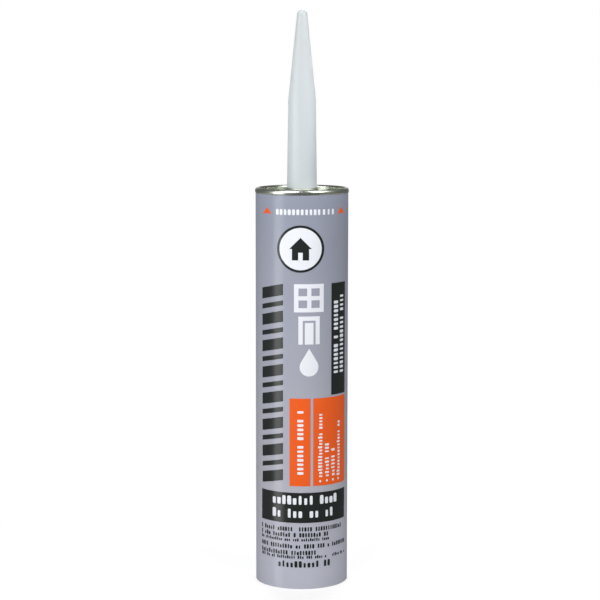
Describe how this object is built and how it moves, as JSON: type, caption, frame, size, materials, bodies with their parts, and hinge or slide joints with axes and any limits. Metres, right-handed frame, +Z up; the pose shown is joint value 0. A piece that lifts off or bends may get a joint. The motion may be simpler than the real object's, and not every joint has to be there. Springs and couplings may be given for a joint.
{
  "type": "caulk tube",
  "caption": "Sealant cartridge for a caulk gun: board barrel with a seamed tinplate front end, closed taper nozzle and a plunger that slides up from the open rear.",
  "frame": {"origin": "on the axis, in the plane of the open rear edge that it stands on", "axes": "+Z up the axis to the nozzle's tip, -Y through the middle of the printed front, +X to the right of the front"},
  "size_m": [0.0506, 0.0506, 0.3093],
  "materials": {
    "board": "wound board, cut edge",
    "wrap": "satin varnish",
    "dark_ink": "satin ink",
    "orange_ink": "satin ink",
    "white_ink": "satin ink",
    "tinplate": "bright tinned",
    "compound": "matte",
    "natural_plastic": "translucent, satin",
    "foil": "foil",
    "paste": "wet paste",
    "plunger_plastic": "moulded"
  },
  "bodies": {
    "cartridge": {"barrel": "board", "label": "wrap", "dark_print": "dark_ink", "orange_print": "orange_ink", "white_print": "white_ink", "front_end": "tinplate", "seam_compound": "compound", "nozzle": "natural_plastic", "breakaway_seal": "foil", "sealant": "paste"},
    "plunger": {"plunger": "plunger_plastic"}
  },
  "joints": [
    {"name": "plunger_slide", "type": "slide", "parent": "cartridge", "child": "plunger", "axis": [0, 0, 1], "range_m": [0, 0.174], "deforming": ["sealant"]}
  ]
}
